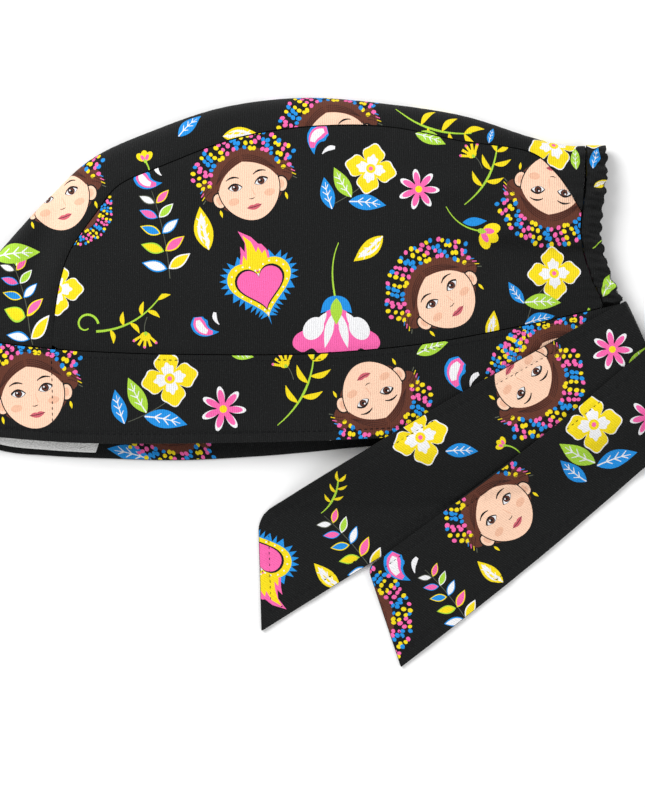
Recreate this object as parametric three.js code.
// A cloth scrub cap with tie backs, lying flat on its side.
//
// The cap is folded along its crown: the near half lies on top, the far half lies on the
// surface underneath, and the crown strip bends round the outline from one half to the other.
// X runs from the brow (-X) to the nape (+X), Y from the ties (-Y) to the crown (+Y) and Z up
// from the surface that the cap lies on. All sizes are in millimetres.
import * as THREE from "three";
import { mergeVertices } from "three/addons/utils/BufferGeometryUtils.js";

// Thickness of each made-up piece: one layer of cotton, or a hem's worth of layers.
const PANEL_CLOTH = 1.2;
const BAND_CLOTH = 1.6;
const TIE_CLOTH = 1.5;
const CASING_CLOTH = 2.2;
const TERRY_CLOTH = 2.0;

// Room between two pieces that are sewn or lie together.
const SEAM_GAP = 0.3;
const LAYER_GAP = 0.4;
const TIE_GAP = 0.9;

// Height of the near half's outer face above the surface, and how it swells at the crown.
const LAID_HEIGHT = 11;
const CROWN_PUFF = 11.5;
const PUFF_REACH = 28;
const PUFF_AT_MOUTH = 0.25;
const PUFF_CLIMB = 70;
const PUFF_FROM_NAPE = 85;
const TAIL = { from: 140, to: 172, drop: 5.5 };

// The fold round the outline: how far in from the edge the cloth bends.
const FOLD_REACH = 7;
const FOLD_SHARE = 0.75;
const EDGE_SHARE = 0.5;

// The band that goes round the head, its ends and the towelling sewn inside its front.
const BAND_END = 146.3;
const SWEATBAND = { nearEnd: -112.5, farEnd: -86, farSlant: 0.2, from: 2.5, to: 36 };

// The elastic casing at the nape.
const CASING_WIDTH = 9;
const CASING_TOP = 139.6;
const CASING_FOLD = 6;
const GATHERS = { height: 0.9, length: 10.5, reach: 14, start: 6 };

// Crown strip, a row for each section from the brow over the crown to the nape:
// the point on the outline and the point on the seam with the side panels.
const CROWN_SECTIONS = [
  { edgeX: -157.3, edgeY: 51.5, seamX: -112.5, seamY: 48 },
  { edgeX: -153, edgeY: 66, seamX: -111, seamY: 62 },
  { edgeX: -145, edgeY: 81, seamX: -108.5, seamY: 77 },
  { edgeX: -136, edgeY: 92.5, seamX: -104, seamY: 91 },
  { edgeX: -116, edgeY: 114.5, seamX: -93, seamY: 107 },
  { edgeX: -95, edgeY: 133.5, seamX: -82, seamY: 120.5 },
  { edgeX: -68, edgeY: 146, seamX: -63, seamY: 129 },
  { edgeX: -35, edgeY: 157, seamX: -30, seamY: 141.5 },
  { edgeX: 2, edgeY: 161.3, seamX: 3, seamY: 147 },
  { edgeX: 40, edgeY: 158.5, seamX: 40, seamY: 147.2 },
  { edgeX: 75, edgeY: 153, seamX: 72, seamY: 141 },
  { edgeX: 105, edgeY: 143.5, seamX: 103, seamY: 136.5 },
  { edgeX: 122, edgeY: 139.6, seamX: 117, seamY: 126 },
  { edgeX: 130.5, edgeY: 139.3, seamX: 128.5, seamY: 109 },
];

// Sections made along the crown, and where the panels start to bend towards the nape.
const CROWN_STEPS = 34;
const CROWN_TRIM = 0.0015;
const FAR_CORNER_TRIM = 0.015;
const NAPE_BEND = { from: 90, to: 128 };

// Seam between the band and the near half, and between the band and the far half.
const NEAR_SEAM = [
  { x: -157.3, y: 51.5 },
  { x: -100, y: 45.2 },
  { x: -30, y: 43.4 },
  { x: 15, y: 44.4 },
  { x: 60, y: 49 },
  { x: 105, y: 57.5 },
  { x: 147.2, y: 67.3 },
];
const FAR_SEAM = [
  { x: -157.3, y: 51.5 },
  { x: -100, y: 38.5 },
  { x: -30, y: 36.5 },
  { x: 40, y: 40 },
  { x: 147, y: 46 },
];

// Free lower edge of the band, where the head goes in, on the near half and on the far half.
const NEAR_MOUTH = [
  { x: -156, y: 8.3 },
  { x: -138, y: 6.4 },
  { x: -103, y: 3.8 },
  { x: -60, y: 3.4 },
  { x: 2, y: 4.6 },
  { x: 40, y: 6 },
  { x: 75, y: 8.5 },
  { x: 110, y: 13.5 },
  { x: 147, y: 21 },
];
const FAR_MOUTH = [
  { x: -156, y: 8.3 },
  { x: -138, y: 0.2 },
  { x: -116, y: -2.3 },
  { x: -87, y: -3.7 },
  { x: -54, y: -4.4 },
  { x: -17, y: -2.5 },
  { x: 2, y: -0.9 },
  { x: 40, y: 2.3 },
  { x: 147, y: 1.5 },
];

// Front fold of the band and outer edge of the nape casing, from the ties upwards.
const FRONT_EDGE = [
  { y: 8.3, x: -156 },
  { y: 30, x: -158.5 },
  { y: 51.5, x: -157.3 },
];
const NAPE_EDGE = [
  { y: 46, x: 147 },
  { y: 66.5, x: 147.2 },
  { y: 77, x: 142.5 },
  { y: 88, x: 139 },
  { y: 100, x: 137 },
  { y: 124, x: 139.6 },
  { y: 139, x: 139.5 },
];

// Folds and dents of the near half: a soft ridge (+) or valley (-) along a short line.
const FOLDS = [
  { fromX: -108, fromY: 116, toX: -126.5, toY: 72, width: 7, height: -3.5 },
  { fromX: 128, fromY: 98, toX: 95, toY: 100, width: 6, height: 2 },
  { fromX: 132, fromY: 80, toX: 100, toY: 76, width: 6, height: 1.6 },
  { fromX: 131, fromY: 120, toX: 112, toY: 122, width: 6, height: 0.8 },
  { fromX: -95, fromY: 85, toX: -60, toY: 50, width: 12, height: -1.5 },
];

// Each tie runs on from the band's end, folds back at a slanted line and lies towards the
// brow. `top` and `bottom` are its two edges at the start, at the fold and at its free end.
const NEAR_TIE = {
  start: { top: [146.7, 67.2], bottom: [146.7, 20.7] },
  fold: { top: [147.2, 67.2], bottom: [168.1, 26.3] },
  end: { top: [-19, -30.4], bottom: [-17.5, -82.8] },
  bow: -2,
  bulge: 1.05,
  cornerRadius: 6,
};
const FAR_TIE = {
  start: { top: [146.7, 46], bottom: [146.7, 1.5] },
  fold: { top: [161, 49.2], bottom: [177.3, 9.4] },
  end: { top: [31.3, -53.8], bottom: [46.5, -99.4] },
  bow: 2,
  bulge: 3.5,
  cornerRadius: 3,
};

// How far each tie takes to come down from what it lies across.
const NEAR_TIE_SLOPE = { from: 1.5, to: 34 };
const FAR_TIE_SLOPE = 24;
const FAR_BAND_SLOPE = 16;
const FAR_FOLD = { lift: 5.2, reach: 12 };

// Colours of the cotton and of the towelling.
const BLACK_COTTON = { color: 0x1c1c1e, roughness: 0.9, metalness: 0 };
const WHITE_TERRY = { color: 0xf2f2ee, roughness: 1, metalness: 0 };

const clamp = THREE.MathUtils.clamp;
const lerp = THREE.MathUtils.lerp;
const smooth = (t) => THREE.MathUtils.smoothstep(t, 0, 1);
const ramp = (t) => 1 - smooth(t);

// A value for each of `count` equal steps from 0 to 1, both ends included.
function steps(count) {
  return Array.from({ length: count + 1 }, (_, i) => i / count);
}

// A smooth curve through the rows of a table, giving one column for a value of another.
function curveOver(rows, input, output) {
  const at = (i) => rows[clamp(i, 0, rows.length - 1)];
  const slope = (i) => (at(i + 1)[output] - at(i - 1)[output]) / (at(i + 1)[input] - at(i - 1)[input]);
  return (value) => {
    let i = 0;
    while (i < rows.length - 2 && rows[i + 1][input] < value) i += 1;
    const run = rows[i + 1][input] - rows[i][input];
    const t = clamp((value - rows[i][input]) / run, 0, 1);
    const ease = t * t * (3 - 2 * t);
    const leaving = t * (1 - t) ** 2 * run * slope(i);
    const arriving = t * t * (t - 1) * run * slope(i + 1);
    return lerp(rows[i][output], rows[i + 1][output], ease) + leaving + arriving;
  };
}

const nearSeam = curveOver(NEAR_SEAM, "x", "y");
const farSeam = curveOver(FAR_SEAM, "x", "y");
const nearMouth = curveOver(NEAR_MOUTH, "x", "y");
const farMouth = curveOver(FAR_MOUTH, "x", "y");
const frontEdge = curveOver(FRONT_EDGE, "y", "x");
const napeEdge = curveOver(NAPE_EDGE, "y", "x");

const edgeCurve = new THREE.CatmullRomCurve3(
  CROWN_SECTIONS.map((row) => new THREE.Vector3(row.edgeX, row.edgeY, 0)),
  false,
  "catmullrom",
);
const seamCurve = new THREE.CatmullRomCurve3(
  CROWN_SECTIONS.map((row) => new THREE.Vector3(row.seamX, row.seamY, 0)),
  false,
  "catmullrom",
);

// The outline from the brow's lower corner up the front and over the crown.
const OUTLINE = [
  ...FRONT_EDGE.map((row) => new THREE.Vector2(row.x, row.y)),
  ...steps(60).map((t) => edgeCurve.getPoint(t)).map((p) => new THREE.Vector2(p.x, p.y)),
];

// Distance from a point in plan to the line between two others.
function distanceToLine(x, y, ax, ay, bx, by) {
  const runX = bx - ax;
  const runY = by - ay;
  const length = runX * runX + runY * runY || 1;
  const t = clamp(((x - ax) * runX + (y - ay) * runY) / length, 0, 1);
  return Math.hypot(x - ax - runX * t, y - ay - runY * t);
}

// Distance in from the front and crown outline.
function inward(x, y) {
  let least = Infinity;
  for (let i = 1; i < OUTLINE.length; i += 1) {
    const a = OUTLINE[i - 1];
    const b = OUTLINE[i];
    least = Math.min(least, distanceToLine(x, y, a.x, a.y, b.x, b.y));
  }
  return least;
}

// Ridges and valleys of the near half.
function folds(x, y) {
  let sum = 0;
  for (const fold of FOLDS) {
    const away = distanceToLine(x, y, fold.fromX, fold.fromY, fold.toX, fold.toY) / fold.width;
    sum += fold.height * Math.exp(-away * away);
  }
  return sum;
}

// Small waves where the elastic gathers the cloth along the nape.
function gathers(x, y) {
  const fromNape = Math.max(0, napeEdge(y) - x);
  const start = smooth((y - nearSeam(x)) / GATHERS.start);
  const wave = Math.cos((2 * Math.PI * y) / GATHERS.length);
  return GATHERS.height * wave * start * Math.exp(-fromNape / GATHERS.reach);
}

// Height of the near half's outer face.
function nearHeight(x, y) {
  const tail = TAIL.drop * smooth((x - TAIL.from) / (TAIL.to - TAIL.from));
  const climb = lerp(PUFF_AT_MOUTH, 1, smooth((y - nearMouth(x)) / PUFF_CLIMB));
  const nape = smooth((napeEdge(y) - x) / PUFF_FROM_NAPE);
  const puff = CROWN_PUFF * (1 - Math.exp(-inward(x, y) / PUFF_REACH)) * climb * nape;
  return LAID_HEIGHT - tail + puff + folds(x, y) + gathers(x, y);
}

// Quarter-round profile of a fold: 0 at the very edge, 1 from the fold's reach inwards.
function foldArc(t) {
  return t >= 1 ? 1 : Math.sqrt(1 - (1 - t) ** 2);
}

// A point of the cap's outer face, `away` from a folded edge, on the near or the far half.
function foldedPoint(x, y, away, reach, near) {
  const top = nearHeight(x, y);
  const middle = (top - gathers(x, y)) * EDGE_SHARE;
  const share = foldArc(away / reach);
  const z = near ? lerp(middle, top, share) : middle * (1 - share);
  return new THREE.Vector3(x, y, z);
}

// Distances from a folded edge for one half: close together round the fold, then even.
function awayFromFold(reach, width, roundSteps, flatSteps) {
  const round = steps(roundSteps).map((t) => reach * (1 - Math.cos((t * Math.PI) / 2)));
  const flat = steps(flatSteps).map((t) => lerp(reach, width, t));
  return [...round, ...flat.slice(1)];
}

// The near half's distances from its far end in to the fold, then the far half's back out.
function acrossFold(distances) {
  const near = distances.slice().reverse().map((away) => ({ away, near: true }));
  const far = distances.slice(1).map((away) => ({ away, near: false }));
  return [...near, ...far];
}

// Normals of a grid of points, one for each point.
function gridNormals(grid) {
  const rows = grid.length;
  const columns = grid[0].length;
  return grid.map((row, i) =>
    row.map((_, j) => {
      const along = grid[Math.min(i + 1, rows - 1)][j].clone().sub(grid[Math.max(i - 1, 0)][j]);
      const across = row[Math.min(j + 1, columns - 1)].clone().sub(row[Math.max(j - 1, 0)]);
      return along.cross(across).normalize();
    }),
  );
}

// A closed cloth solid from a grid of points on its outer face. The two faces lie `from` and
// `to` below the grid, along its normals, and a rim closes them all round.
function shell(grid, from, to) {
  const normals = gridNormals(grid);
  const rows = grid.length;
  const columns = grid[0].length;
  const positions = [];
  for (const depth of [from, to]) {
    grid.forEach((row, i) =>
      row.forEach((point, j) => {
        positions.push(...point.clone().addScaledVector(normals[i][j], -depth).toArray());
      }),
    );
  }
  const at = (i, j, face) => face * rows * columns + i * columns + j;
  const faces = [];
  const quad = (a, b, c, d) => faces.push(a, b, c, a, c, d);
  for (let i = 0; i < rows - 1; i += 1) {
    for (let j = 0; j < columns - 1; j += 1) {
      quad(at(i, j, 0), at(i + 1, j, 0), at(i + 1, j + 1, 0), at(i, j + 1, 0));
      quad(at(i, j, 1), at(i, j + 1, 1), at(i + 1, j + 1, 1), at(i + 1, j, 1));
    }
  }
  for (let i = 0; i < rows - 1; i += 1) {
    quad(at(i, 0, 0), at(i, 0, 1), at(i + 1, 0, 1), at(i + 1, 0, 0));
    quad(at(i + 1, columns - 1, 0), at(i + 1, columns - 1, 1), at(i, columns - 1, 1), at(i, columns - 1, 0));
  }
  for (let j = 0; j < columns - 1; j += 1) {
    quad(at(0, j + 1, 0), at(0, j + 1, 1), at(0, j, 1), at(0, j, 0));
    quad(at(rows - 1, j, 0), at(rows - 1, j, 1), at(rows - 1, j + 1, 1), at(rows - 1, j + 1, 0));
  }
  const geometry = new THREE.BufferGeometry();
  geometry.setAttribute("position", new THREE.Float32BufferAttribute(positions, 3));
  geometry.setIndex(faces);
  return mergeVertices(geometry);
}

function piece(name, geometry, finish) {
  const flat = geometry.toNonIndexed();
  flat.computeVertexNormals();
  const mesh = new THREE.Mesh(flat, new THREE.MeshStandardMaterial(finish));
  mesh.name = name;
  return mesh;
}

// A point beside the crown seam: out into the strip (+) or in over the side panel (-).
function besideSeam(t, out) {
  const along = seamCurve.getTangent(t);
  return seamCurve.getPoint(t).add(new THREE.Vector3(-along.y, along.x, 0).multiplyScalar(out));
}

// Crown strip: bends round the outline from the near seam to the far seam. Its far half
// reaches a little lower at the brow, down to the band.
function crownStrip() {
  const grid = steps(CROWN_STEPS).map((step) => {
    const t = clamp(step, CROWN_TRIM, 1 - CROWN_TRIM);
    const edge = edgeCurve.getPoint(t);
    const seam = besideSeam(t, SEAM_GAP);
    const width = edge.distanceTo(seam);
    const reach = Math.min(FOLD_REACH, FOLD_SHARE * width);
    return acrossFold(awayFromFold(reach, width, 4, 3)).map(({ away, near }) => {
      const settle = near ? 0 : Math.max(0, 1 - t * (CROWN_SECTIONS.length - 1));
      const p = edge.clone().lerp(seam, (away / width) * (1 - FAR_CORNER_TRIM * settle));
      const y = lerp(p.y, farSeam(p.x) + 3 * SEAM_GAP, settle);
      return foldedPoint(p.x, y, away, reach, near);
    });
  });
  return shell(grid, 0, PANEL_CLOTH);
}

// Columns of a side panel, from its seam with the band up to its seam with the crown strip.
// The last ones bend to follow the nape.
function panelColumns(bandSeam, rows) {
  return steps(CROWN_STEPS).map((t) => {
    const top = besideSeam(t, -SEAM_GAP);
    const bend = smooth((top.x - NAPE_BEND.from) / (NAPE_BEND.to - NAPE_BEND.from));
    const across = (y) => top.x + bend * (napeEdge(y) - napeEdge(top.y));
    const bottom = bandSeam(top.x) + SEAM_GAP;
    return steps(rows).map((v) => {
      const guess = lerp(bottom, top.y, v);
      const y = lerp(bandSeam(across(guess)) + SEAM_GAP, top.y, v);
      return new THREE.Vector3(across(y), y, 0);
    });
  });
}

function nearSidePanel() {
  const columns = panelColumns(nearSeam, 10);
  const grid = columns.map((column) =>
    column.map((p) => new THREE.Vector3(p.x, p.y, nearHeight(p.x, p.y))),
  );
  return shell(grid, 0, PANEL_CLOTH);
}

// The far panel lies flat on the surface.
function farSidePanel() {
  const columns = panelColumns(farSeam, 4);
  const grid = columns.map((column) => column.map((p) => new THREE.Vector3(p.x, p.y, 0)).reverse());
  return shell(grid, 0, PANEL_CLOTH);
}

// A point of the band's outer face: how far it is from the front fold, as a share of the
// whole length, on which half, and how high up the band.
function bandPoint(away, near, height) {
  const length = BAND_END - FRONT_EDGE[0].x;
  const x = lerp(frontEdge(lerp(8.3, 51.5, height)), BAND_END, away / length);
  const mouth = near ? nearMouth(x) : farMouth(x);
  const seam = (near ? nearSeam(x) : farSeam(x)) - SEAM_GAP;
  return foldedPoint(x, lerp(mouth, seam, height), away, FOLD_REACH, near);
}

function browBand() {
  const length = BAND_END - FRONT_EDGE[0].x;
  const grid = acrossFold(awayFromFold(FOLD_REACH, length, 5, 20)).map(({ away, near }) =>
    steps(4).reverse().map((height) => bandPoint(away, near, height)),
  );
  return shell(grid, 0, BAND_CLOTH);
}

// Towelling inside the front of the band, from the near half round to the far half.
function sweatband() {
  const front = FRONT_EDGE[0].x;
  const near = awayFromFold(FOLD_REACH, SWEATBAND.nearEnd - front, 5, 5);
  const far = awayFromFold(FOLD_REACH, SWEATBAND.farEnd - front, 5, 6);
  const along = [
    ...near.slice().reverse().map((away) => ({ away, near: true })),
    ...far.slice(1).map((away) => ({ away, near: false })),
  ];
  const bandHeight = 40;
  const grid = along.map((column) =>
    steps(3).reverse().map((t) => {
      const above = lerp(SWEATBAND.from, SWEATBAND.to, t);
      const slant = column.near ? 1 : 1 + SWEATBAND.farSlant * (t - 0.5) * smooth(column.away / 70 - 0.2);
      return bandPoint(column.away * slant, column.near, above / bandHeight);
    }),
  );
  const outer = BAND_CLOTH + LAYER_GAP;
  return shell(grid, outer, outer + TERRY_CLOTH);
}

// Elastic casing along the nape: up the near half, over the fold at the top, down the far one.
function napeCasing() {
  const nearStart = nearSeam(NAPE_EDGE[0].x) + 2 * LAYER_GAP;
  const farStart = farSeam(NAPE_EDGE[0].x) + 2 * LAYER_GAP;
  const along = (start, flatSteps) => awayFromFold(CASING_FOLD, CASING_TOP - start, 4, flatSteps);
  const path = [
    ...along(nearStart, 34).reverse().map((away) => ({ away, near: true })),
    ...along(farStart, 6).slice(1).map((away) => ({ away, near: false })),
  ];
  const grid = path.map(({ away, near }) =>
    steps(3).map((t) => {
      const y = CASING_TOP - away;
      const x = napeEdge(y) - lerp(CASING_WIDTH - 2 * SEAM_GAP, 0, t);
      return foldedPoint(x, y, away, CASING_FOLD, near);
    }),
  );
  return shell(grid.map((row) => row.reverse()), 0, CASING_CLOTH);
}

// A point between a tie's two edges at one of its three lines, 0 at the top edge.
function betweenEdges(line, share) {
  const x = lerp(line.top[0], line.bottom[0], share);
  const y = lerp(line.top[1], line.bottom[1], share);
  return new THREE.Vector3(x, y, 0);
}

// Middle face of a tie: in from the band, round the fold, and out to the rounded free end.
function tieGrid(tie, heightIn, heightOut, inSteps, outSteps) {
  const edge = betweenEdges(tie.fold, 1).sub(betweenEdges(tie.fold, 0));
  const outward = new THREE.Vector3(-edge.y, edge.x, 0).normalize();
  const width = edge.length();
  const place = (point, height) => point.setZ(height(point.x, point.y));
  const column = (share) => {
    const start = betweenEdges(tie.start, share);
    const fold = betweenEdges(tie.fold, share);
    const end = betweenEdges(tie.end, share);
    const low = heightIn(fold.x, fold.y);
    const high = heightOut(fold.x, fold.y);
    const arriving = steps(inSteps).slice(0, -1).map((t) => place(start.clone().lerp(fold, t), heightIn));
    const turning = steps(6).map((t) => {
      const angle = Math.PI * t;
      const point = fold.clone().addScaledVector(outward, tie.bulge * Math.sin(angle));
      return point.setZ(lerp(low, high, (1 - Math.cos(angle)) / 2));
    });
    const run = end.clone().sub(fold);
    const side = new THREE.Vector3(-run.y, run.x, 0).normalize();
    const fromCorner = clamp((share * width) / tie.cornerRadius, 0, 1);
    const cut = (tie.cornerRadius * (1 - foldArc(fromCorner))) / run.length();
    const leaving = steps(outSteps).slice(1).map((t) => {
      const at = t * (1 - cut);
      const point = fold.clone().addScaledVector(run, at);
      point.addScaledVector(side, tie.bow * Math.sin(Math.PI * at));
      return place(point, heightOut);
    });
    return [...arriving, ...turning, ...leaving];
  };
  const shares = [0, 0.04, 0.15, 0.3, 0.45, 0.6, 0.75, 0.88, 1];
  const columns = shares.map(column);
  return columns[0].map((_, i) => columns.map((points) => points[i]));
}

// Height of the near tie's lower face where it lies across the band and down to the surface.
function underNearTie(x, y) {
  const below = nearMouth(x) - y;
  const slope = ramp((below - NEAR_TIE_SLOPE.from) / (NEAR_TIE_SLOPE.to - NEAR_TIE_SLOPE.from));
  return nearHeight(x, y) * slope;
}

// A tie lies on what is under it with a little room, and on the surface with none.
function laidOn(under) {
  return under + TIE_GAP * clamp(under, 0, 1);
}

function nearTieIn(x, y) {
  return nearHeight(x, y) - TIE_CLOTH / 2;
}

function nearTieOut(x, y) {
  return laidOn(underNearTie(x, y)) + TIE_CLOTH / 2;
}

// Distance of a point outside the near tie's lying length, past its lower edge or its fold.
function outsideNearTie(x, y) {
  const { fold, end } = NEAR_TIE;
  const past = (a, b) => {
    const runX = b[0] - a[0];
    const runY = b[1] - a[1];
    return ((x - a[0]) * runY - (y - a[1]) * runX) / Math.hypot(runX, runY);
  };
  const pastLower = past(end.bottom, fold.bottom);
  const pastFold = past(fold.bottom, fold.top);
  return Math.hypot(Math.max(0, pastLower), Math.max(0, pastFold));
}

// Height of what is under the far tie's lying length: the near tie, the far band and its fold.
function underFarTie(x, y) {
  const nearTie = (laidOn(underNearTie(x, y)) + TIE_CLOTH) * ramp(outsideNearTie(x, y) / FAR_TIE_SLOPE);
  const past = Math.max(0, farMouth(Math.min(x, BAND_END)) - y);
  const band = (BAND_CLOTH + LAYER_GAP) * ramp(past / FAR_BAND_SLOPE);
  const { top, bottom } = FAR_TIE.fold;
  const fromFold = distanceToLine(x, y, top[0], top[1], bottom[0], bottom[1]);
  const fold = FAR_FOLD.lift * Math.exp(-fromFold / FAR_FOLD.reach);
  return Math.cbrt(nearTie ** 3 + band ** 3 + fold ** 3);
}

function farTieOut(x, y) {
  return laidOn(underFarTie(x, y)) + TIE_CLOTH / 2;
}

function nearTie() {
  const grid = tieGrid(NEAR_TIE, nearTieIn, nearTieOut, 4, 32);
  return shell(grid, -TIE_CLOTH / 2, TIE_CLOTH / 2);
}

function farTie() {
  const grid = tieGrid(FAR_TIE, () => TIE_CLOTH / 2, farTieOut, 4, 32);
  return shell(grid, -TIE_CLOTH / 2, TIE_CLOTH / 2);
}

// The cap, with its origin under the middle of its outline, on the surface it lies on.
function scrubCap() {
  const cap = new THREE.Group();
  cap.add(
    piece("near_side_panel", nearSidePanel(), BLACK_COTTON),
    piece("far_side_panel", farSidePanel(), BLACK_COTTON),
    piece("crown_strip", crownStrip(), BLACK_COTTON),
    piece("brow_band", browBand(), BLACK_COTTON),
    piece("sweatband", sweatband(), WHITE_TERRY),
    piece("nape_casing", napeCasing(), BLACK_COTTON),
    piece("near_tie", nearTie(), BLACK_COTTON),
    piece("far_tie", farTie(), BLACK_COTTON),
  );
  const box = new THREE.Box3().setFromObject(cap);
  const middle = box.getCenter(new THREE.Vector3());
  cap.position.set(-middle.x, -middle.y, -box.min.z);
  return cap;
}

const cap = scrubCap();
export default cap;
